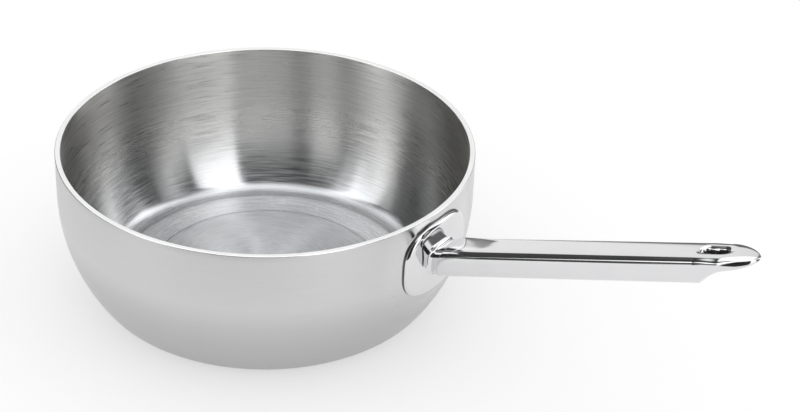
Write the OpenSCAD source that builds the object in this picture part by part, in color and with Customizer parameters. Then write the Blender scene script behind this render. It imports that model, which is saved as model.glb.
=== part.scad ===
// Saucier pan: five-layer clad bowl with a welded, hollow steel handle.
// Millimetres. Z is up, the pan rests on Z = 0, the bowl's axis is the Z axis
// and the handle points along +X.

/* [Pan body] */
// Inside diameter of the mouth
mouth_diameter = 240; // [200:1:280]
// Height from the resting face to the rim
pan_height = 93.8; // [80:0.2:115]
// Height of the upright band of wall under the rim
upright_band = 26.5; // [20:0.5:32]
// Outside radius of the curved wall, seen in section
belly_radius = 106.5; // [100:0.5:130]
// Outside radius where the wall turns into the base
base_corner_radius = 14.2; // [8:0.2:20]
// Width of the flat ring that the pan rests on
rest_ring_width = 22; // [10:1:40]
// Rise of the stamped middle of the base above the resting ring
base_disc_rise = 0.4; // [0.2:0.1:1]
// Radius of the inner and outer edges of the rim
rim_edge_radius = 0.4; // [0.2:0.05:0.45]

/* [Clad layers] */
// Thickness of the inner stainless steel
inner_steel = 0.5; // [0.45:0.05:1]
// Thickness of the upper bonding layer
upper_bond = 0.25; // [0.15:0.05:0.5]
// Thickness of the aluminium core
core_thickness = 1.75; // [1:0.05:3]
// Thickness of the lower bonding layer
lower_bond = 0.25; // [0.15:0.05:0.5]
// Thickness of the outer steel
outer_steel = 0.55; // [0.45:0.05:1]

/* [Handle foot] */
// Width of the oval foot plate
foot_width = 57; // [50:0.5:70]
// Height of the oval foot plate
foot_height = 46.4; // [36:0.2:52]
// Depth of the foot plate's middle below the rim
foot_drop = 27.9; // [26:0.1:34]
// Thickness of the foot plate
foot_thickness = 3; // [2:0.1:3.6]
// Width of the rounded border of the foot plate
foot_border = 2.5; // [1.5:0.1:3.5]
// How square the foot's outline is, 2 being an ellipse
foot_squareness = 2.7; // [2:0.1:3.2]
// Set-back of the neck behind the handle's surface
neck_recess = 0.9; // [0.4:0.1:1.2]
// Radius of the hollow between the foot plate and the neck
neck_fillet = 2.2; // [1:0.1:3]
// Length of the spigot inside the handle
spigot_length = 14; // [8:0.5:24]
// Gap between the foot and the handle, at the spigot and at its shoulder
spigot_clearance = 0.1; // [0.05:0.05:0.3]

/* [Handle] */
// Depth below the rim at which the handle's axis meets the wall
handle_drop = 30; // [27:0.5:34]
// Rise of the handle above the horizontal, in degrees
handle_pitch = 20.8; // [10:0.2:30]
// Length from the wall to the tip, along the handle's axis
handle_length = 208.1; // [170:0.1:260]
// Width at the front
front_width = 24.6; // [20:0.1:28]
// Width where the nose begins
tip_width = 23.3; // [20:0.1:28]
// Height at the front
front_height = 16.6; // [14:0.1:20]
// Height where the scoop begins
tip_height = 15.7; // [14:0.1:20]
// How square the cross-section is, 2 being an ellipse
handle_squareness = 5; // [3:0.1:7]
// Wall of the hollow handle
handle_wall = 1.6; // [1.4:0.1:2.4]
// Distance from the wall of the pan to the top of the handle's front end
front_setback = 14.8; // [13:0.2:20]
// Distance from the wall of the pan to the bottom of the handle's front end
front_lower_setback = 6.7; // [6:0.1:9]
// Rise of the front end above the straight run
front_flare = 0.6; // [0.2:0.1:2]
// Length over which the flare runs out
flare_length = 20; // [14:1:40]

/* [Handle tip] */
// Length of the scooped tip, from the lower corner to the very end
scoop_length = 33.1; // [30:0.1:40]
// Length of the rounded nose
nose_length = 18.9; // [14:0.1:21]
// Height of the nose's lower face above the handle's axis
nose_underside = -1.1; // [-3:0.1:1]
// Height of the very end above the handle's axis
nose_end = 2.9; // [2:0.1:4.5]
// Length of the hanging eye, over its dished border
eye_length = 22.4; // [20:0.2:25]
// Width of the hanging eye, over its dished border
eye_width = 10.6; // [9:0.2:12]
// Distance from the tip to the middle of the eye
eye_from_tip = 23.6; // [22:0.2:26]
// Length of the hole in the eye
hole_length = 14.8; // [11:0.2:17]
// Width of the hole in the eye
hole_width = 6; // [4:0.2:7.4]
// Distance of the hole's middle from the eye's middle, towards the pan
hole_shift = 1.4; // [0:0.1:1.6]
// Depth of the dished border
eye_dish_depth = 2.2; // [1:0.1:3]
// Thickness of the handle's closed end, up to the lower corner of the scoop
end_web = 6; // [3:0.5:15]

/* [Hidden] */
$fn = 96;

// depth of each layer's outer face inside the wall's outer face
d_outer = 0;
d_lower = outer_steel;
d_core = d_lower + lower_bond;
d_upper = d_core + core_thickness;
d_inner = d_upper + upper_bond;
wall = d_inner + inner_steel;

// outer wall in section: upright band, belly arc, corner arc, flat base
R = mouth_diameter / 2 + wall;
belly_z = pan_height - upright_band;
belly_x = R - belly_radius;
turn = asin((belly_z - base_corner_radius) / (belly_radius - base_corner_radius));
corner_x = belly_x + (belly_radius - base_corner_radius) * cos(turn);
corner_z = base_corner_radius;
disc_r = corner_x - rest_ring_width;

// handle
wall_point = [R, 0, pan_height - handle_drop];
foot_z = pan_height - foot_drop;
scoop_s = handle_length - scoop_length;
nose_s = handle_length - nose_length;
eye_s = handle_length - eye_from_tip;
front_top = front_height / 2 + front_flare;
sides = 48;
nose_squareness = 4.4;
front_curve = 2.1;

function lerp(a, b, t) = a + (b - a) * t;
function clamp01(t) = max(0, min(1, t));
function ease(t) = let (c = clamp01(t)) c * c * (3 - 2 * c);
function spow(v, p) = sign(v) * pow(abs(v), p);
// one point of a squared oval
function oval(t, a, b, q) = [a * spow(cos(t), 2 / q), b * spow(sin(t), 2 / q)];
// outside radius of the bowl at a height
function wall_r(z) = z >= belly_z ? R
    : belly_x + sqrt(pow(belly_radius, 2) - pow(belly_z - z, 2));
// a point on the wall, d outside it
function on_wall(y, z, d) = [sqrt(pow(wall_r(z) + d, 2) - y * y), y, z];
// handle coordinates: s along the axis from the wall, l sideways, n square to the axis
function axis_point(s, l, n) = [wall_point[0] + s * cos(handle_pitch) - n * sin(handle_pitch), l,
                                wall_point[2] + s * sin(handle_pitch) + n * cos(handle_pitch)];
// where a line along the handle meets the wall, d outside it
function wall_s(l, n, d) =
    let (s0 = (sqrt(pow(R + d, 2) - l * l) - R + n * sin(handle_pitch)) / cos(handle_pitch),
         z0 = axis_point(s0, l, n)[2])
    s0 + (wall_r(z0) - R) / cos(handle_pitch);
// the curved front end of the handle
function front_s(n) = let (u = clamp01((n + front_height / 2) / (front_height / 2 + front_top)))
    lerp(front_lower_setback, front_setback, pow(u, front_curve));

// a skin over rings of points that all have the same count
module loft(rings) {
    c = len(rings[0]);
    m = len(rings);
    polyhedron(
        points = [for (r = rings) each r],
        faces = concat(
            [[for (i = [0 : c - 1]) i]],
            [for (k = [0 : m - 2], i = [0 : c - 1]) [k * c + i, (k + 1) * c + i, (k + 1) * c + (i + 1) % c]],
            [for (k = [0 : m - 2], i = [0 : c - 1]) [k * c + i, (k + 1) * c + (i + 1) % c, k * c + (i + 1) % c]],
            [[for (i = [c - 1 : -1 : 0]) (m - 1) * c + i]]));
}

// the bowl's section, d inside the outer face
module bowl_section(d) {
    polygon([[0, d + base_disc_rise], [disc_r - 1, d + base_disc_rise], [disc_r, d], [corner_x, d],
             [corner_x, belly_z], [R - d, belly_z], [R - d, pan_height], [0, pan_height]]);
    intersection() {
        translate([belly_x, belly_z]) circle(r = belly_radius - d);
        polygon([[belly_x, belly_z + upright_band / 2], [belly_x + 2 * belly_radius, belly_z + upright_band / 2],
                 [belly_x + 2 * belly_radius * cos(turn), belly_z - 2 * belly_radius * sin(turn)],
                 [belly_x, belly_z]]);
    }
    translate([corner_x, corner_z]) circle(r = base_corner_radius - d);
}

// one layer between two depths
module ply(d0, d1) {
    rotate_extrude() difference() {
        bowl_section(d0);
        bowl_section(d1);
    }
}

// what is cut off a square rim edge to round it, edge at the origin, metal towards -X and -Y
module edge_round(r) {
    difference() {
        translate([-r, -r]) square(2 * r);
        translate([-r, -r]) circle(r = r);
    }
}

module outer_steel_ply() color("silver") difference() {
    ply(d_outer, d_lower);
    rotate_extrude() translate([R, pan_height]) edge_round(rim_edge_radius);
}

module lower_bond_ply() color("lightgrey") ply(d_lower, d_core);

module aluminium_core() color("gainsboro") ply(d_core, d_upper);

module upper_bond_ply() color("lightgrey") ply(d_upper, d_inner);

module inner_steel_ply() color("whitesmoke") difference() {
    ply(d_inner, wall);
    rotate_extrude() translate([R - wall, pan_height]) mirror([1, 0]) edge_round(rim_edge_radius);
}

// cross-section sizes of the handle at s
function half_w(s) = lerp(front_width, tip_width, s / nose_s) / 2;
function half_h(s) = lerp(front_height, tip_height, s / scoop_s) / 2;
function flare(s) = front_flare * (1 - ease((s - front_setback) / flare_length));
function nose_t(s) = clamp01((s - nose_s) / nose_length);
function round_off(t, q) = pow(max(0, 1 - pow(t, q)), 1 / q);
function scoop_t(s) = clamp01((s - scoop_s) / (scoop_length - nose_length * 0.8));
function low_n(s) = s <= scoop_s ? -half_h(s)
    : lerp(nose_underside, -half_h(scoop_s), pow(1 - scoop_t(s), 1.9));
function body_low(s) = lerp(nose_end, low_n(s), round_off(nose_t(s), 1.85));
function body_top(s) = lerp(nose_end, half_h(min(s, scoop_s)) + flare(s), round_off(nose_t(s), 1.6));
function body_half_w(s) = half_w(min(s, nose_s)) * round_off(nose_t(s), 1.7);
function body_q(s) = lerp(handle_squareness, nose_squareness, ease((s - scoop_s) / (nose_s - scoop_s)));

// a ring of the handle at s, its surface moved inward by t, bent by k of the front end's curve
function body_ring(s, t, k) = [for (i = [0 : sides - 1])
    let (top = body_top(s) - t, low = body_low(s) + t,
         p = oval(360 * i / sides, max(0.05, body_half_w(s) - t), max(0.05, (top - low) / 2), body_q(s)),
         n = p[1] + (top + low) / 2)
    axis_point(s + k * (front_s(n) - front_setback), p[0], n)];

// a ring d behind the front end
function front_ring(d, t) = body_ring(front_setback + d, t, 1 - ease(d / flare_length));

// a ring of the hanging eye's border at height n, k = 0 at its outline and k = 1 at the hole
function eye_ring(k, n) =
    let (l = lerp(eye_length, hole_length, k), w = lerp(eye_width, hole_width, k), x = eye_s - hole_shift * k)
    [for (i = [0 : sides - 1]) let (a = 360 * (i + 0.5) / sides)
        axis_point(x + sign(cos(a)) * (l - w) / 2 + w / 2 * cos(a), w / 2 * sin(a), n)];

module handle_body() color("lightsteelblue") difference() {
    run = [lerp(front_setback + flare_length, scoop_s, 0.5), scoop_s];
    scoop = [for (i = [1 : 7]) lerp(scoop_s, nose_s, pow(i / 7, 1.3))];
    nose = [for (i = [1 : 10]) nose_s + nose_length * sin(90 * i / 10.12)];
    loft(concat([for (i = [0 : 5]) front_ring(flare_length * i / 5, 0)],
                [for (s = concat(run, scoop, nose)) body_ring(s, 0, 0)]));
    // bore, open at the front
    loft(concat([body_ring(front_setback - 3, handle_wall, 1)],
                [for (i = [0 : 5]) front_ring(flare_length * i / 5, handle_wall)],
                [body_ring(scoop_s - end_web, handle_wall, 0)]));
    // hanging eye with its dished border
    top = tip_height / 2;
    loft([eye_ring(1, -tip_height), eye_ring(1, top - eye_dish_depth), eye_ring(0.8, top - 0.42 * eye_dish_depth),
          eye_ring(0.45, top - 0.12 * eye_dish_depth), eye_ring(0, top + 0.03 * eye_dish_depth),
          eye_ring(-0.4, top + 0.4 * eye_dish_depth)]);
}

// neck ring between the wall (k = 0) and the handle's front end (k = 1), grown outward by g
function neck_ring(k, d, g) = [for (i = [0 : sides - 1])
    let (s = front_setback,
         top = body_top(s) - neck_recess + g, low = body_low(s) + neck_recess - g,
         p = oval(360 * i / sides, body_half_w(s) - neck_recess + g, (top - low) / 2, handle_squareness),
         n = p[1] + (top + low) / 2)
    axis_point(lerp(wall_s(p[0], n, d), front_s(n) - spigot_clearance, k), p[0], n)];

// ring of the foot plate, its outline drawn in by g, d outside the wall
function plate_ring(d, g) = [for (i = [0 : sides - 1])
    let (p = oval(360 * i / sides, foot_width / 2 - g, foot_height / 2 - g, foot_squareness))
    on_wall(p[0], p[1] + foot_z, d)];

// ring between the plate's border and the neck's root, on the plate's face
function face_ring(d, g, f, root) = let (edge = plate_ring(d, g))
    [for (i = [0 : sides - 1]) on_wall(lerp(edge[i][1], root[i][1], f), lerp(edge[i][2], root[i][2], f), d)];

module handle_foot() color("steelblue") {
    t = foot_thickness;
    root = neck_ring(0, t, neck_fillet);
    neck_gap = front_lower_setback;
    difference() {
        loft(concat([plate_ring(-1, 0), plate_ring(t * 0.3, 0), plate_ring(t * 0.62, foot_border * 0.12),
              plate_ring(t * 0.85, foot_border * 0.38), plate_ring(t * 0.96, foot_border * 0.7),
              plate_ring(t, foot_border),
              face_ring(t, foot_border, 0.35, root), face_ring(t, foot_border, 0.7, root), root,
              neck_ring(0.3 * neck_fillet / neck_gap, t, neck_fillet * 0.4),
              neck_ring(0.62 * neck_fillet / neck_gap, t, neck_fillet * 0.12),
              neck_ring(neck_fillet / neck_gap, t, 0),
              neck_ring(1, t, 0)],
              [for (i = [0 : 5]) front_ring(spigot_length * i / 5 - spigot_clearance, handle_wall + spigot_clearance)]));
        // seat on the bowl
        rotate_extrude($fn = 360) bowl_section(0, $fn = 360);
    }
}

inner_steel_ply();
upper_bond_ply();
aluminium_core();
lower_bond_ply();
outer_steel_ply();
handle_foot();
handle_body();
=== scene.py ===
"""Saucier pan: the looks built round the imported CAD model.

Metres, Z up, the bowl's axis on Z and the handle along +X, as in the CAD.
Sizes of the pan are in millimetres, as in part.scad, and new_piece turns them into metres.
Lengths in the materials, the floor and the camera are in metres.
"""

import math

import bmesh
import bpy
import numpy as np
from mathutils import Euler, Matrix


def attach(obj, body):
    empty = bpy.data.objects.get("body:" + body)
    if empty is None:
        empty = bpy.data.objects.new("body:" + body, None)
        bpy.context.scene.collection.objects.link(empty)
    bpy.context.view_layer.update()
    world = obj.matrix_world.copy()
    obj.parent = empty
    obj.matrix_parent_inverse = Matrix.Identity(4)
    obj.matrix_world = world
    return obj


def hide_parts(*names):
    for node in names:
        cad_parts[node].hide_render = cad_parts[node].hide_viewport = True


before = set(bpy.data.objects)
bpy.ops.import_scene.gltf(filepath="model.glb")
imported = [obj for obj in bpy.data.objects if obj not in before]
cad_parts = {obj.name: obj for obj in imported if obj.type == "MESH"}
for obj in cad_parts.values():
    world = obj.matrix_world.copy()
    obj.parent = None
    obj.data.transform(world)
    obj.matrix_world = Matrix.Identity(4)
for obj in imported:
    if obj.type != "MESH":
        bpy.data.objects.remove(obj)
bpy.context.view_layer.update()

MM = 0.001

# Bowl
MOUTH = 240.0  # inside diameter
WALL = 3.3
R = MOUTH / 2 + WALL  # outside radius of the upright band
HEIGHT = 93.8
BAND = 26.5  # height of the upright band under the rim
BELLY = 106.5  # radius of the curved wall, in section
CORNER = 14.2  # radius of the turn into the base, in section
REST_RING = 22.0  # width of the ring that the pan rests on
DISC_RISE, DISC_STEP = 0.4, 1.2  # how far the middle of the base is raised, and over what width
RIM_ROUND = 0.4
RIM_REACH = RIM_ROUND * 1.02  # faces this near to the top are polished
PLIES = (  # piece, CAD node, material slot, depth of the outer and of the inner face
    ("outer_skin", "outer_steel_ply", "satin_steel", 0.0, 0.55),
    ("lower_bond", "lower_bond_ply", "pure_aluminium", 0.55, 0.8),
    ("core", "aluminium_core", "aluminium_alloy", 0.8, 2.55),
    ("upper_bond", "upper_bond_ply", "pure_aluminium", 2.55, 2.8),
    ("cooking_skin", "inner_steel_ply", "cooking_surface", 2.8, WALL),
)
BELLY_X, BELLY_Z = R - BELLY, HEIGHT - BAND  # middle of the belly's arc, in section
TURN = math.asin((BELLY_Z - CORNER) / (BELLY - CORNER))  # where the belly meets the turn into the base
CORNER_X = BELLY_X + (BELLY - CORNER) * math.cos(TURN)
DISC_R = CORNER_X - REST_RING  # radius of the raised middle of the base

# Foot
FOOT_W, FOOT_H = 57.0, 46.4
FOOT_DROP = 27.9  # depth of the plate's middle below the rim
FOOT_T, FOOT_BORDER = 3.0, 2.5  # thickness, width of the rounded border
FOOT_EDGE = 0.3  # share of the thickness that stays upright under the rounded border
FOOT_Q = 2.7  # squareness, 2 being an ellipse
FOOT_SEAT = 0.02  # depth of the plate's outline in the wall
FOOT_SINK, FOOT_TUCK = 0.25, 0.9  # the plate's back: depth in the wall, how far its outline is drawn in
FOOT_Z = HEIGHT - FOOT_DROP
NECK_RECESS, NECK_FILLET = 0.9, 2.2  # set-back behind the handle's surface, hollow between plate and neck
SPIGOT_LENGTH, SPIGOT_GAP = 14.0, 0.1
SEAM_SHADE_REACH = 0.95  # height of the painted dark shade round the plate, above the wall
SEAM_SHADE_FROM = 0.15  # squared share of the plate's size; what lies nearer to its middle is its hidden back

# Handle. Its squareness is lower than in part.scad, so that the dark band along its edge has its width
WALL_Z = HEIGHT - 30.0  # where the handle's axis meets the wall
PITCH = math.radians(20.8)
LENGTH = 208.1
FRONT_W, TIP_W, FRONT_H, TIP_H = 24.6, 23.3, 16.6, 15.7
HANDLE_Q, NOSE_Q = 4.1, 2.7
HANDLE_WALL, END_WEB = 1.6, 6.0  # wall, and thickness of the closed end before the scoop
SETBACK, LOWER_SETBACK = 14.8, 6.7  # from the wall to the front end's top and bottom
FRONT_CURVE = 2.1
FLARE, FLARE_LENGTH = 0.6, 20.0
LIP = ((0.30, 0.0), (0.15, 0.04), (0.04, 0.15), (0.0, 0.30))  # rounded front edge: depth, distance along
SCOOP_LENGTH, NOSE_LENGTH = 33.1, 18.9
SCOOP_REACH = SCOOP_LENGTH - NOSE_LENGTH * 0.8  # length over which the scoop rises
SCOOP_CURVE = 1.9
NOSE_UNDER, NOSE_END = -1.1, 2.9
NOSE_LOW_CURVE, NOSE_TOP_CURVE, NOSE_SIDE_CURVE = 1.85, 1.6, 1.7
SCOOP_S, NOSE_S = LENGTH - SCOOP_LENGTH, LENGTH - NOSE_LENGTH
FRONT_TOP = FRONT_H / 2 + FLARE
LEAST_HALF = 0.03  # half width and half height at the very tip

# Hanging eye
EYE_L, EYE_W, EYE_S = 22.4, 10.6, LENGTH - 23.6
HOLE_L, HOLE_W, HOLE_SHIFT = 14.8, 6.0, 1.4  # the hole's middle lies nearer to the pan than the eye's
DISH_SPREAD = 0.9  # how far outside the eye's outline its border begins to sink
DISH_SINK = 2.75  # depth that the border's round would reach if it went on to the hole
DISH_EDGE = 0.995  # where the border's round stops, just before it stands upright
TOP_FACE = 3.0  # height over the handle's axis above which the top face lies
EYE_WALL = 0.15  # distance from the hole within which a face belongs to its wall

# Fineness of the meshes
LATHE_POINTS, RING_POINTS, OVAL_POINTS = 320, 176, 4001
DISC_POINTS, REST_POINTS, CORNER_POINTS, BELLY_POINTS, BAND_POINTS = 12, 7, 12, 26, 8
BORE_RINGS, FLARE_RINGS, PLAIN_RINGS, NOSE_RINGS = 21, 27, 40, 72
NOSE_TURN = 89.3  # degrees of the nose's round at the last ring
FINE_FROM, FINE_STEP = EYE_S - 12.8, 0.3  # where the close rings round the eye begin, and their spacing
PLAIN_END = FINE_FROM - 0.2
SCOOP_RINGS = (-0.2, 0.0, 0.15)  # rings close about the scoop's corner
SCOOP_FINE = 0.4  # where the close rings go on behind it
CUTTER_POINTS = 33  # on each round end of the eye's hole
PLATE_RINGS, FILLET_RINGS, NECK_RINGS, SPIGOT_RINGS = 14, 9, 7, 9
BORDER_STEP = 9  # degrees between the rings of the plate's rounded border
SHARP_BOWL, SHARP_HANDLE, SHARP_FOOT = 40, 38, 50  # degrees; edges sharper than this aren't shaded smooth
MERGE_DISTANCE = 2e-7  # metres
TINY = 1e-6  # keeps a division from meeting zero


def make_camera():
    """The camera that was fitted to the rim and the outline in the photograph."""
    data = bpy.data.cameras.new("camera")
    data.sensor_width = 36
    data.lens = 91.6766
    data.clip_start, data.clip_end = 0.05, 60
    camera = bpy.data.objects.new("camera", data)
    camera.location = (0.650405, -0.815624, 0.692770)
    camera.rotation_euler = Euler([math.radians(a) for a in (58.42489, -1.92282, 35.34758)], "XYZ")
    bpy.context.scene.collection.objects.link(camera)
    bpy.context.scene.camera = camera


# Small maths
def lerp(a, b, t):
    return a + (b - a) * t


def clamp01(t):
    return max(0.0, min(1.0, t))


def ease(t):
    t = clamp01(t)
    return t * t * (3 - 2 * t)


def signed_power(v, p):
    return np.sign(v) * np.abs(v) ** p


def oval(a, b, q):
    """Points of a squared oval at even steps along its line, starting at +a."""
    t = np.linspace(0, 2 * math.pi, OVAL_POINTS)
    x, y = a * signed_power(np.cos(t), 2 / q), b * signed_power(np.sin(t), 2 / q)
    run = np.concatenate([[0], np.cumsum(np.hypot(np.diff(x), np.diff(y)))])
    at = np.linspace(0, run[-1], RING_POINTS, endpoint=False)
    return np.interp(at, run, x), np.interp(at, run, y)


def wall_r(z):
    """Outside radius of the bowl at a height."""
    below = np.minimum(z, BELLY_Z)
    return np.where(z >= BELLY_Z, R, BELLY_X + np.sqrt(BELLY**2 - (BELLY_Z - below) ** 2))


def on_wall(y, z, d):
    """A point d outside the wall."""
    return np.stack([np.sqrt((wall_r(z) + d) ** 2 - y * y), y, z], -1)


def axis_point(s, l, n):
    """The point of handle coordinates: s along from the wall, l sideways, n square to the axis."""
    s, l, n = np.broadcast_arrays(s, l, n)
    return np.stack([R + s * math.cos(PITCH) - n * math.sin(PITCH), l,
                     WALL_Z + s * math.sin(PITCH) + n * math.cos(PITCH)], -1)


def handle_coordinates(points):
    """The inverse of axis_point."""
    rel = np.asarray(points) - np.array([R, 0, WALL_Z])
    return (rel[:, 0] * math.cos(PITCH) + rel[:, 2] * math.sin(PITCH), rel[:, 1],
            -rel[:, 0] * math.sin(PITCH) + rel[:, 2] * math.cos(PITCH))


def wall_s(l, n, d):
    """Where a line along the handle meets the wall, d outside it."""
    s0 = (np.sqrt((R + d) ** 2 - l * l) - R + n * math.sin(PITCH)) / math.cos(PITCH)
    z0 = axis_point(s0, l, n)[..., 2]
    return s0 + (wall_r(z0) - R) / math.cos(PITCH)


# Meshes
def tidy_mesh(mesh, sharp):
    """Merges doubles, points the faces outward and shades smooth up to an angle in degrees."""
    bm = bmesh.new()
    bm.from_mesh(mesh)
    bmesh.ops.remove_doubles(bm, verts=bm.verts, dist=MERGE_DISTANCE)
    bmesh.ops.recalc_face_normals(bm, faces=bm.faces)
    for f in bm.faces:
        f.smooth = True
    if sharp is not None:
        for e in bm.edges:
            if len(e.link_faces) == 2 and e.calc_face_angle(0) > math.radians(sharp):
                e.smooth = False
    bm.to_mesh(mesh)
    bm.free()
    mesh.update()


def new_piece(name, verts, faces, material, sharp):
    mesh = bpy.data.meshes.new(name)
    mesh.from_pydata([tuple(float(c) * MM for c in v) for v in verts], [], faces)
    mesh.validate()
    mesh.update()
    obj = bpy.data.objects.new(name, mesh)
    bpy.context.scene.collection.objects.link(obj)
    mesh.materials.append(material)
    tidy_mesh(mesh, sharp)
    return obj


def skin(name, rings, material, closed=False, sharp=None):
    """A surface over rings of points; closed joins the last ring to the first, else the ends are capped."""
    rings = [np.asarray(r) for r in rings]
    count, rows = len(rings[0]), len(rings)
    verts = np.concatenate(rings)
    faces = []
    for k in range(rows if closed else rows - 1):
        a, b = k * count, (k + 1) % rows * count
        for i in range(count):
            j = (i + 1) % count
            faces.append((a + i, a + j, b + j, b + i))
    if not closed:
        for k in (0, rows - 1):
            centre = len(verts)
            verts = np.concatenate([verts, rings[k].mean(0)[None]])
            faces += [(k * count + i, k * count + (i + 1) % count, centre) for i in range(count)]
    return new_piece(name, verts, faces, material, sharp)


def lathe(name, profile, material):
    """A closed section, as (r, z), turned round the bowl's axis."""
    angles = np.linspace(0, 2 * math.pi, LATHE_POINTS, endpoint=False)
    rings = [np.stack([r * np.cos(angles), r * np.sin(angles), np.full(LATHE_POINTS, z)], -1)
             for r, z in profile]
    return skin(name, rings, material, closed=True, sharp=SHARP_BOWL)


def second_material(obj, material, chosen):
    """Gives another material to the faces whose middle, in millimetres, is chosen."""
    obj.data.materials.append(material)
    for face in obj.data.polygons:
        if chosen(*(np.array(face.center) / MM)):
            face.material_index = len(obj.data.materials) - 1


def declare(piece, cad_node):
    """Hides the CAD node that the piece stands for and says what it rides on."""
    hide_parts(cad_node)
    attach(piece, "root")


# Materials
EIGHTHS, TENTHS = 8.0, 10.0  # of a metre


def grey(tone):
    return (tone, tone, tone)


class Tree:
    """The nodes of a material or of the world, with short calls that add and link them."""

    def __init__(self, tree):
        self.nodes, self.links = tree.nodes, tree.links

    def put(self, value, socket):
        """Links a socket's value to a socket, or writes a plain value into it."""
        if isinstance(value, bpy.types.NodeSocket):
            self.links.new(value, socket)
        else:
            socket.default_value = value

    def add(self, kind, settings=(), **inputs):
        """A new node: settings are its own properties, inputs go by a socket's name or _ and its number."""
        new = self.nodes.new(kind)
        for key, value in dict(settings).items():
            setattr(new, key, value)
        for key, value in inputs.items():
            self.put(value, new.inputs[int(key[1:])] if key[0] == "_" else new.inputs[key])
        return new

    def maths(self, operation, a, b):
        return self.add("ShaderNodeMath", {"operation": operation}, _0=a, _1=b).outputs[0]

    def position(self):
        return self.add("ShaderNodeTexCoord").outputs["Object"]

    def noise(self, vector, scale=1.0, detail=3.0, rough=0.55):
        return self.add("ShaderNodeTexNoise", Vector=vector, Scale=scale, Detail=detail,
                        Roughness=rough).outputs["Fac"]

    def span(self, value, low, high, to_low=0.0, to_high=1.0):
        """The value's place between low and high, and no further, carried over to two other numbers."""
        return self.add("ShaderNodeMapRange", {"clamp": True}, _0=value, _1=low, _2=high, _3=to_low,
                        _4=to_high).outputs[0]

    def mix(self, factor, first, second, blend="MIX"):
        """Two colours, each an (r, g, b) or a socket, mixed by a factor."""
        new = self.add("ShaderNodeMix", {"data_type": "RGBA", "blend_type": blend}, Factor=factor)
        for place, colour in ((6, first), (7, second)):
            self.put((*colour, 1) if isinstance(colour, tuple) else colour, new.inputs[place])
        return new.outputs[2]

    def multiply(self, first, second):
        return self.mix(1.0, first, second, "MULTIPLY")

    def ramp(self, value, table):
        """Greys through (position, tone) pairs."""
        new = self.add("ShaderNodeValToRGB", _0=value)
        stops = new.color_ramp.elements
        while len(stops) < len(table):
            stops.new(0.5)
        for stop, (place, tone) in zip(stops, table):
            stop.position = place
            stop.color = (*grey(tone), 1)
        return new.outputs[0]

    def bump(self, height, strength, distance, **normal):
        return self.add("ShaderNodeBump", Height=height, Strength=strength, Distance=distance,
                        **normal).outputs[0]

    def two_marks(self, first, second, share):
        """Two sorts of marks together, the first with the given share."""
        first = self.maths("MULTIPLY", first, share)
        return self.maths("ADD", first, self.maths("MULTIPLY", second, 1 - share))

    def waver(self, value, marks, width):
        """The value, moved up and down by marks that lie between 0 and 1."""
        marks = self.maths("SUBTRACT", marks, 0.5)
        return self.maths("ADD", value, self.maths("MULTIPLY", marks, width))


class Turned:
    """Where a point lies on the bowl: its height, its distance from the axis and its direction round it."""

    def __init__(self, tree):
        self.tree = tree
        x, y, self.z = tree.add("ShaderNodeSeparateXYZ", _0=tree.position()).outputs
        flat = tree.add("ShaderNodeCombineXYZ", _0=x, _1=y).outputs[0]
        self.radius = tree.add("ShaderNodeVectorMath", {"operation": "LENGTH"}, _0=flat).outputs["Value"]
        unit = tree.add("ShaderNodeVectorMath", {"operation": "NORMALIZE"}, _0=flat).outputs[0]
        self.unit = tree.add("ShaderNodeSeparateXYZ", _0=unit).outputs

    def marks(self, around, along):
        """Coordinates for marks of turning: slow round the axis, quick along the bowl's section."""
        run = self.tree.maths("ADD", self.radius, self.z)
        return self.tree.add("ShaderNodeCombineXYZ", _0=self.tree.maths("MULTIPLY", self.unit[0], around),
                             _1=self.tree.maths("MULTIPLY", self.unit[1], around),
                             _2=self.tree.maths("MULTIPLY", run, along)).outputs[0]


def new_material(name, metallic):
    """A material, its tree and its shader."""
    material = bpy.data.materials.new(name)
    material.use_nodes = True
    shader = material.node_tree.nodes["Principled BSDF"]
    shader.inputs["Metallic"].default_value = metallic
    return material, Tree(material.node_tree), shader


def brush_round(tree, shader, strength):
    """Spreads the gloss across marks that run round the bowl's axis."""
    tangent = tree.add("ShaderNodeTangent", {"direction_type": "RADIAL", "axis": "Z"})
    tree.put(tangent.outputs[0], shader.inputs["Tangent"])
    shader.inputs["Anisotropic"].default_value = strength
    shader.inputs["Anisotropic Rotation"].default_value = 0.25


# Bowl's inside
COARSE_MARKS, FINE_MARKS = (5.0, 760.0), (9.0, 2000.0)  # how close they lie: around, and per metre along
COARSE_SHARE = 0.65
STREAK_RANGE = (0.35, 0.65)
STREAK_DARK, STREAK_LIGHT = (0.70, 0.70, 0.695), (0.89, 0.89, 0.885)
BASE_RING_SHADE = (  # painted shade and highlights in rings round the base: distance from the axis in eighths of a metre, tone
    (0, 0.74), (0.5, 0.80), (0.548, 0.86), (0.560, 0.80), (0.568, 0.56), (0.578, 0.94),
    (0.68, 0.96), (0.705, 0.86), (0.722, 0.55), (0.745, 0.65), (0.775, 1.0), (1, 1.0))
# painted tint of reflected light: cool low in the bowl, warm above, between these heights in metres
PAINTED_TINT_HEIGHTS = (0.005, 0.055)
COOL_PAINTED_TINT, WARM_PAINTED_TINT = (0.94, 0.965, 1.0), (1.0, 0.99, 0.965)
WALL_HEIGHTS = (0.0042, 0.0075)  # the base's look turns into the wall's between them
WALL_ROUGHNESS = (0.022, 0.060, 0.21, 0.31)  # heights, roughness at them
BASE_ROUGHNESS = (0.064, 0.074, 0.38, 0.25)  # distances from the axis, roughness at them
STREAK_ROUGHNESS = 0.08
BASE_DEPTH, WALL_DEPTH = 0.3, 0.8  # depth of the marks
MARK_HEIGHT = 0.000025
DISH_RADII, DISH_HEIGHT = (0.070, 0.093), 0.0022  # the soft hollow where the base turns up


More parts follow.
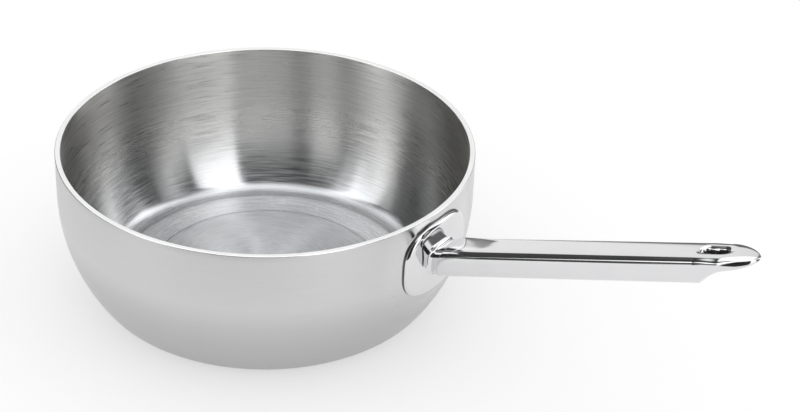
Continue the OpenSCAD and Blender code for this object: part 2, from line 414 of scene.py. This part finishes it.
def brushed_inside():
    """Brushed round the wall, finer and softer on the base, where the marks of turning stay; painted rings
    of shade and highlight lie on the base, and a painted cool-to-warm tint up the wall.
    """
    material, tree, shader = new_material("cooking_surface", 1.0)
    place = Turned(tree)
    coarse = tree.noise(place.marks(*COARSE_MARKS), detail=2.0, rough=0.5)
    fine = tree.noise(place.marks(*FINE_MARKS), detail=2.0, rough=0.6)
    streak = tree.span(tree.two_marks(coarse, fine, COARSE_SHARE), *STREAK_RANGE)
    wall = tree.span(place.z, *WALL_HEIGHTS)

    metal = tree.mix(streak, STREAK_DARK, STREAK_LIGHT)
    # rings of painted shade and highlight on the base, multiplied into its colour
    rings = tree.ramp(tree.maths("MULTIPLY", place.radius, EIGHTHS), BASE_RING_SHADE)
    # painted tint of reflected light, cool low in the bowl
    painted_tint = tree.mix(tree.span(place.z, *PAINTED_TINT_HEIGHTS), COOL_PAINTED_TINT, WARM_PAINTED_TINT)
    tree.put(tree.multiply(tree.multiply(metal, rings), painted_tint), shader.inputs["Base Color"])

    satin = tree.add("ShaderNodeMix", {"data_type": "FLOAT"}, Factor=wall,
                     _2=tree.span(place.radius, *BASE_ROUGHNESS), _3=tree.span(place.z, *WALL_ROUGHNESS))
    tree.put(tree.waver(satin.outputs[0], streak, STREAK_ROUGHNESS), shader.inputs["Roughness"])

    height = tree.maths("MULTIPLY", coarse, tree.span(wall, 0, 1, BASE_DEPTH, WALL_DEPTH))
    slope = tree.span(place.radius, *DISH_RADII)
    dish = tree.bump(tree.maths("MULTIPLY", slope, slope), 1.0, DISH_HEIGHT)
    tree.put(tree.bump(height, 1.0, MARK_HEIGHT, Normal=dish), shader.inputs["Normal"])
    brush_round(tree, shader, strength=1.0)
    return material


# Bowl's outside
SATIN_MARKS = (6.0, 4200.0)
SATIN_DARK, SATIN_LIGHT = grey(0.60), grey(0.67)
BELLY_PAINTED_SHADE = ((0, 0.80), (0.3, 0.84), (0.42, 0.88), (0.58, 1.0), (1, 1.0))  # painted shade, darker down the belly: height in tenths, tone
BRIGHT_MIDDLE = (R * MM, 0, (FOOT_Z + 2) * MM)  # the wall round the foot was polished after welding
BRIGHT_RADII = (0.030, 0.046)  # where that polish ends and the satin begins
BRIGHT_ROUGHNESS, SATIN_ROUGHNESS, CLOUD_ROUGHNESS = 0.11, 0.40, 0.06
SATIN_STRENGTH, SATIN_HEIGHT = 0.2, 0.00003


def satin_outside():
    """Satin steel with painted shade darker down the belly, and polished round the foot."""
    material, tree, shader = new_material("satin_steel", 1.0)
    place = Turned(tree)
    streak = tree.noise(place.marks(*SATIN_MARKS))
    cloud = tree.noise(tree.position(), scale=9.0, detail=2.0)
    # painted shade: the belly darkens towards the bottom
    tone = tree.ramp(tree.maths("MULTIPLY", place.z, TENTHS), BELLY_PAINTED_SHADE)
    tree.put(tree.multiply(tree.mix(streak, SATIN_DARK, SATIN_LIGHT), tone), shader.inputs["Base Color"])

    away = tree.add("ShaderNodeVectorMath", {"operation": "DISTANCE"}, _0=tree.position(), _1=BRIGHT_MIDDLE)
    satin = tree.span(away.outputs["Value"], *BRIGHT_RADII)
    rough = tree.span(satin, 0, 1, BRIGHT_ROUGHNESS, SATIN_ROUGHNESS)
    tree.put(tree.waver(rough, cloud, CLOUD_ROUGHNESS), shader.inputs["Roughness"])
    height = tree.maths("MULTIPLY", streak, satin)
    tree.put(tree.bump(height, SATIN_STRENGTH, SATIN_HEIGHT), shader.inputs["Normal"])
    brush_round(tree, shader, strength=0.3)
    return material


# Polished metal
SMEAR_SCALE, SMEAR_SHARE, SMEAR_RANGE = 60.0, 0.7, (0.3, 0.7)
SMEAR_STRENGTH, SMEAR_HEIGHT = 0.04, 0.00004
GRAIN_SCALE = (140.0, 2600.0, 2600.0)  # buffing marks run along the handle


def polished(name, dark, light, rough):
    """Polished steel with faint smears and buffing marks, between two colours and two roughnesses."""
    material, tree, shader = new_material(name, 1.0)
    position = tree.position()
    smear = tree.noise(position, scale=SMEAR_SCALE, detail=4.0)
    grain = tree.add("ShaderNodeMapping", Vector=position, Scale=GRAIN_SCALE).outputs[0]
    both = tree.two_marks(smear, tree.noise(grain, detail=2.0), SMEAR_SHARE)
    tree.put(tree.mix(smear, dark, light), shader.inputs["Base Color"])
    tree.put(tree.span(both, *SMEAR_RANGE, *rough), shader.inputs["Roughness"])
    tree.put(tree.bump(smear, SMEAR_STRENGTH, SMEAR_HEIGHT), shader.inputs["Normal"])
    return material


MAT_INSIDE = brushed_inside()
MAT_OUTSIDE = satin_outside()
MAT_POLISHED = polished("polished_steel", (0.70, 0.70, 0.71), (0.76, 0.76, 0.77), (0.05, 0.11))
# the walls of the eye's hole: painted shade, nearly black, where the hole is dark
MAT_EYE_SHADE = polished("painted_eye_shade", (0.05, 0.05, 0.055), (0.10, 0.10, 0.105), (0.40, 0.55))
MAT_RIM = polished("polished_rim", grey(0.82), grey(0.88), (0.16, 0.26))
# a dark line of painted shade round the foot's plate, where it meets the wall
MAT_SEAM_SHADE = polished("painted_seam_shade", grey(0.10), grey(0.18), (0.30, 0.45))


# Bowl
def wall_line(d):
    """The bowl's line from the axis to the rim's round, d inside the outer face, as (r, z)."""
    line = [(r, d + DISC_RISE) for r in np.linspace(0, DISC_R - DISC_STEP, DISC_POINTS)]
    line += [(DISC_R - DISC_STEP + DISC_STEP * u, d + DISC_RISE * (1 - ease(u)))
             for u in (0.25, 0.5, 0.75, 1)]
    line += [(r, d) for r in np.linspace(DISC_R, CORNER_X, REST_POINTS)[1:-1]]
    for a in np.linspace(math.pi / 2, TURN, CORNER_POINTS):
        line.append((CORNER_X + (CORNER - d) * math.cos(a), CORNER - (CORNER - d) * math.sin(a)))
    for a in np.linspace(TURN, 0, BELLY_POINTS)[1:]:
        line.append((BELLY_X + (BELLY - d) * math.cos(a), BELLY_Z - (BELLY - d) * math.sin(a)))
    line += [(R - d, z) for z in np.linspace(BELLY_Z, HEIGHT - RIM_ROUND, BAND_POINTS)[1:]]
    return line


def rim_round(r, side):
    """The rounded edge of the rim that ends a wall of radius r, on its outer (1) or inner (-1) side."""
    return [(r + side * RIM_ROUND * (math.cos(a) - 1), HEIGHT + RIM_ROUND * (math.sin(a) - 1))
            for a in np.radians([22.5, 45, 67.5, 90])]


def ply_profile(d0, d1):
    """Closed section of one layer, with the free rim edges of the first and last layer rounded."""
    outer, inner = wall_line(d0), wall_line(d1)
    outer += rim_round(R, 1) if d0 == 0 else [(R - d0, HEIGHT)]
    inner += rim_round(R - WALL, -1) if d1 == WALL else [(R - d1, HEIGHT)]
    return outer + inner[::-1]


def on_rim(x, y, z):
    return z > HEIGHT - RIM_REACH


def make_bowl():
    for name, cad_node, slot, d0, d1 in PLIES:
        material = {"outer_skin": MAT_OUTSIDE, "cooking_skin": MAT_INSIDE}.get(name, MAT_RIM)
        ply = lathe(name, ply_profile(d0, d1), material)
        second_material(ply, MAT_RIM, on_rim)
        declare(ply, cad_node)


# Handle: its section at s along the axis
def half_w(s):
    """Half the width, before the nose."""
    return lerp(FRONT_W, TIP_W, s / NOSE_S) / 2


def half_h(s):
    """Half the height, before the scoop and the nose."""
    return lerp(FRONT_H, TIP_H, s / SCOOP_S) / 2


def front_s(n):
    """The curved front end of the handle at height n."""
    u = np.clip((n + FRONT_H / 2) / (FRONT_H / 2 + FRONT_TOP), 0, 1)
    return lerp(LOWER_SETBACK, SETBACK, u**FRONT_CURVE)


def flare(s):
    """Rise of the top face towards the front end."""
    return FLARE * (1 - ease((s - SETBACK) / FLARE_LENGTH))


def round_off(t, q):
    """Falls from 1 to 0 as t goes from 0 to 1, along a squared circle."""
    return max(0.0, 1 - t**q) ** (1 / q)


def nose_t(s):
    """How far s lies along the nose, from 0 to 1."""
    return clamp01((s - NOSE_S) / NOSE_LENGTH)


def scooped_low(s):
    """The lower face before the nose rounds it off."""
    if s <= SCOOP_S:
        return -half_h(s)
    t = clamp01((s - SCOOP_S) / SCOOP_REACH)
    return lerp(NOSE_UNDER, -half_h(SCOOP_S), (1 - t) ** SCOOP_CURVE)


def body_low(s):
    return lerp(NOSE_END, scooped_low(s), round_off(nose_t(s), NOSE_LOW_CURVE))


def body_top(s):
    return lerp(NOSE_END, half_h(min(s, SCOOP_S)) + flare(s), round_off(nose_t(s), NOSE_TOP_CURVE))


def body_half_w(s):
    return half_w(min(s, NOSE_S)) * round_off(nose_t(s), NOSE_SIDE_CURVE)


def body_q(s):
    return lerp(HANDLE_Q, NOSE_Q, ease((s - SCOOP_S) / (NOSE_S - SCOOP_S)))


def section(half, top, low, q):
    """A squared oval between two heights, as places sideways and square to the axis."""
    l, n = oval(max(LEAST_HALF, half), max(LEAST_HALF, (top - low) / 2), q)
    return l, n + (top + low) / 2


def body_ring(s, t=0.0, k=0.0):
    """A ring of the handle at s, t inside its surface, bent by k of the front end's curve."""
    l, n = section(body_half_w(s) - t, body_top(s) - t, body_low(s) + t, body_q(s))
    return axis_point(s + k * (front_s(n) - SETBACK), l, n)


def front_ring(d, t):
    """A ring d behind the handle's curved front end, t inside its surface."""
    return body_ring(SETBACK + d, t, 1 - ease(d / FLARE_LENGTH))


def lip_ring(t, d):
    """A ring of the rounded front edge, t inside the surface and d along the handle."""
    return front_ring(0, t) + np.array([d * math.cos(PITCH), 0, d * math.sin(PITCH)])


def slot_reach(s, l, k):
    """Distance outside the eye's outline (k = 0) or its hole (k = 1)."""
    length, width = lerp(EYE_L, HOLE_L, k), lerp(EYE_W, HOLE_W, k)
    ds = np.maximum(np.abs(s - EYE_S + HOLE_SHIFT * k) - (length - width) / 2, 0)
    return np.hypot(ds, l) - width / 2


def eye_dish(points):
    """Rolls the top face down into the hanging eye."""
    out = np.array(points)
    s, l, n = handle_coordinates(out)
    outside, hole = slot_reach(s, l, 0) - DISH_SPREAD, slot_reach(s, l, 1)
    t = np.clip(-outside / np.maximum(hole - outside, TINY), 0, DISH_EDGE)
    sink = np.where(n > TOP_FACE, DISH_SINK * (1 - np.sqrt(1 - t**2)), 0)
    out[:, 0] += sink * math.sin(PITCH)
    out[:, 2] -= sink * math.cos(PITCH)
    return out


def eye_cutter():
    """A long, round-ended cutter through the eye's hole."""
    a = np.linspace(-math.pi / 2, math.pi / 2, CUTTER_POINTS)
    half, r = (HOLE_L - HOLE_W) / 2, HOLE_W / 2
    s = np.concatenate([half + r * np.cos(a), -half - r * np.cos(a)])
    l = np.concatenate([r * np.sin(a), -r * np.sin(a)])
    rings = [axis_point(EYE_S - HOLE_SHIFT + s, l, n) for n in (-TIP_H, TIP_H)]
    return skin("eye_cutter", rings, MAT_POLISHED)


def cut_eye(body):
    """Cuts the eye's hole and keeps the result as the handle's mesh."""
    cutter = eye_cutter()
    cut = body.modifiers.new("eye", "BOOLEAN")
    cut.operation, cut.solver, cut.object = "DIFFERENCE", "EXACT", cutter
    bpy.context.view_layer.update()
    evaluated = body.evaluated_get(bpy.context.evaluated_depsgraph_get())
    cut_mesh = bpy.data.meshes.new_from_object(evaluated)
    body.modifiers.clear()
    body.data = cut_mesh
    bpy.data.objects.remove(cutter)
    tidy_mesh(body.data, SHARP_HANDLE)


def in_eye(x, y, z):
    s, l, _ = handle_coordinates([(x, y, z)])
    return slot_reach(s, l, 1)[0] < EYE_WALL


def make_handle():
    bore = [body_ring(SCOOP_S - END_WEB, HANDLE_WALL)]
    bore += [front_ring(u * FLARE_LENGTH, HANDLE_WALL) for u in np.linspace(1, 0, BORE_RINGS)]
    lip = [lip_ring(t, d) for t, d in LIP]
    front = [front_ring(u * FLARE_LENGTH, 0) for u in np.linspace(0, 1, FLARE_RINGS)[1:]]
    stations = list(np.linspace(SETBACK + FLARE_LENGTH, PLAIN_END, PLAIN_RINGS)[1:])
    stations += list(np.arange(FINE_FROM, SCOOP_S - FINE_STEP, FINE_STEP))
    stations += [SCOOP_S + d for d in SCOOP_RINGS]
    stations += list(np.arange(SCOOP_S + SCOOP_FINE, NOSE_S, FINE_STEP))
    nose_turns = np.radians(np.linspace(0, NOSE_TURN, NOSE_RINGS))
    stations += [NOSE_S + NOSE_LENGTH * math.sin(a) for a in nose_turns]
    handle = skin("handle", bore + lip + front + [eye_dish(body_ring(s)) for s in stations], MAT_POLISHED)
    cut_eye(handle)
    # the hole's walls take the painted shade
    second_material(handle, MAT_EYE_SHADE, in_eye)
    declare(handle, "handle_body")


# Foot
def neck_ring(k, d, g):
    """A ring between d outside the wall (k = 0) and the handle's front end (k = 1), grown outward by g."""
    l, n = section(body_half_w(SETBACK) - NECK_RECESS + g, body_top(SETBACK) - NECK_RECESS + g,
                   body_low(SETBACK) + NECK_RECESS - g, HANDLE_Q)
    return axis_point(lerp(wall_s(l, n, d), front_s(n) - SPIGOT_GAP, k), l, n)


def plate_ring(d, g):
    """A ring of the plate d outside the wall, its outline drawn in by g."""
    y, z = oval(FOOT_W / 2 - g, FOOT_H / 2 - g, FOOT_Q)
    return on_wall(y, z + FOOT_Z, d)


def face_ring(f, root):
    """A ring on the plate's face, between its border (f = 0) and the neck's root (f = 1)."""
    edge = plate_ring(FOOT_T, FOOT_BORDER)
    return on_wall(lerp(edge[:, 1], root[:, 1], f), lerp(edge[:, 2], root[:, 2], f), FOOT_T)


def border_ring(a):
    """A ring of the plate's rounded border, from its edge (a = 0) up to its face."""
    return plate_ring(FOOT_T * (FOOT_EDGE + (1 - FOOT_EDGE) * math.sin(a)), FOOT_BORDER * (1 - math.cos(a)))


def fillet_ring(a):
    """A ring of the hollow between the plate and the neck, from the plate (a = 0) up."""
    rise, growth = NECK_FILLET * (1 - math.cos(a)), NECK_FILLET * (1 - math.sin(a))
    return neck_ring(rise / LOWER_SETBACK, FOOT_T, growth)


def on_seam_shade(x, y, z):
    from_middle = (y / FOOT_W) ** 2 + ((z - FOOT_Z) / FOOT_H) ** 2
    return math.hypot(x, y) - float(wall_r(z)) < SEAM_SHADE_REACH and from_middle > SEAM_SHADE_FROM


def make_foot():
    root = neck_ring(0, FOOT_T, NECK_FILLET)
    rings = [plate_ring(-FOOT_SINK, FOOT_TUCK), plate_ring(-FOOT_SEAT, 0)]
    rings.append(plate_ring(FOOT_T * FOOT_EDGE, 0))
    rings += [border_ring(a) for a in np.radians(np.arange(BORDER_STEP, 91, BORDER_STEP))]
    rings += [face_ring(f, root) for f in np.linspace(0, 1, PLATE_RINGS)[1:-1]]
    rings.append(root)
    rings += [fillet_ring(a) for a in np.radians(np.linspace(0, 90, FILLET_RINGS)[1:])]
    rings += [neck_ring(k, FOOT_T, 0) for k in np.linspace(NECK_FILLET / LOWER_SETBACK, 1, NECK_RINGS)[1:]]
    rings += [front_ring(d, HANDLE_WALL + SPIGOT_GAP)
              for d in np.linspace(0, SPIGOT_LENGTH, SPIGOT_RINGS) - SPIGOT_GAP]
    foot = skin("foot", rings, MAT_POLISHED, sharp=SHARP_FOOT)
    # painted shade round the plate's edge
    second_material(foot, MAT_SEAM_SHADE, on_seam_shade)
    declare(foot, "handle_foot")


# Floor and world
FLOOR_RADIUS, FLOOR_X, FLOOR_Z, FLOOR_CORNERS = 0.5, 0.1, -0.0004, 96
FLOOR_TONE, FLOOR_GLOW = 0.55, 0.47


def make_floor():
    """A pale floor that glows a little, so that it is nearly white and keeps a faint shadow."""
    mesh = bpy.data.meshes.new("floor")
    corners = np.linspace(0, 2 * math.pi, FLOOR_CORNERS, endpoint=False)
    mesh.from_pydata([(FLOOR_X + FLOOR_RADIUS * math.cos(a), FLOOR_RADIUS * math.sin(a), FLOOR_Z)
                      for a in corners], [], [range(FLOOR_CORNERS)])
    floor = bpy.data.objects.new("floor", mesh)
    bpy.context.scene.collection.objects.link(floor)
    material, _, shader = new_material("floor", 0.0)
    shader.inputs["Base Color"].default_value = (*grey(FLOOR_TONE), 1)
    shader.inputs["Roughness"].default_value = 0.9
    shader.inputs["Specular IOR Level"].default_value = 0.0
    shader.inputs["Emission Color"].default_value = (1, 1, 1, 1)
    shader.inputs["Emission Strength"].default_value = FLOOR_GLOW
    mesh.materials.append(material)


# Studio round the pan, as its metal mirrors it. Each table goes round the pan: degrees, which are 0 on the
# camera's side and grow to its right, and the tone that lies there.
LEFT_PANEL = ((-84, 1.8), (-62, 1.8), (-59, 0.7), (-51, 0.6), (-49, 0.02))
RIGHT_PANELS = ((20, 1.8), (48, 1.8), (51, 0.03), (62, 0.03), (65, 0.45), (76, 0.45), (79, 0.04), (92, 0.04),
                (97, 1.8), (124, 1.8), (130, 0.2))
STUDIO_HORIZON = (
    (-180, 1.0), (-160, 1.0), (-157, 0.07), (-70, 0.07), (-67, 1.2), (-58, 1.2), (-56, 0.7), (-51, 0.6),
    (-49, 0.03), (18, 0.03), (20, 1.2), (48, 1.2), (51, 0.05), (65, 0.15), (92, 0.15), (97, 1.2),
    (124, 1.2), (130, 0.2), (145, 0.2), (176, 0.15), (179, 1.0), (180, 1.0))
STUDIO_LOW = (
    (-180, 1.0), (-156, 1.0), (-153, 0.07), (-87, 0.05), *LEFT_PANEL, (18, 0.02), *RIGHT_PANELS,
    (145, 0.2), (155, 0.9), (180, 1.0))
STUDIO_HIGH = (
    (-180, 1.8), (-150, 1.8), (-135, 1.2), (-108, 1.2), (-105, 0.03), (-87, 0.03), *LEFT_PANEL,
    (-10, 0.02), (-4, 0.12), (8, 0.12), (18, 0.05), *RIGHT_PANELS, (142, 0.2), (150, 1.8), (180, 1.8))
STUDIO_OVERHEAD = grey(1.4)
# one turns into the next between these heights, as sines of the angle above the horizon
HORIZON_TO_LOW, LOW_TO_HIGH, HIGH_TO_OVERHEAD = (0.17, 0.22), (0.62, 0.68), (0.86, 0.95)
CAMERA_SIDE = -51.4  # degrees round the pan, from +X


def make_world():
    """Even white light; mirrored, it is a studio of white panels with dark gaps between them."""
    world = bpy.data.worlds.new("studio")
    bpy.context.scene.world = world
    world.use_nodes = True
    tree = Tree(world.node_tree)
    background = world.node_tree.nodes["Background"]
    direction = tree.add("ShaderNodeTexCoord").outputs["Generated"]
    x, y, z = tree.add("ShaderNodeSeparateXYZ", _0=direction).outputs
    angle = tree.maths("SUBTRACT", tree.maths("ARCTAN2", y, x), math.radians(CAMERA_SIDE))
    wrapped = tree.add("ShaderNodeMath", {"operation": "WRAP"}, _0=angle, _1=math.pi, _2=-math.pi)
    at = tree.span(wrapped.outputs[0], -math.pi, math.pi)
    horizon, low, high = [tree.ramp(at, [((degrees + 180) / 360, tone) for degrees, tone in table])
                          for table in (STUDIO_HORIZON, STUDIO_LOW, STUDIO_HIGH)]
    mirrored = tree.mix(tree.span(z, *HORIZON_TO_LOW), horizon, low)
    mirrored = tree.mix(tree.span(z, *LOW_TO_HIGH), mirrored, high)
    mirrored = tree.mix(tree.span(z, *HIGH_TO_OVERHEAD), mirrored, STUDIO_OVERHEAD)
    glossy = tree.add("ShaderNodeLightPath").outputs["Is Glossy Ray"]
    tree.put(tree.mix(glossy, grey(1.0), mirrored), background.inputs["Color"])
    background.inputs["Strength"].default_value = 1.0


make_camera()
make_bowl()
make_handle()
make_foot()
make_floor()
make_world()
bpy.context.scene.view_settings.view_transform = "Standard"
# a third reflection stays black, which deepens the dark bands inside the bowl
bpy.context.scene.cycles.glossy_bounces = 2
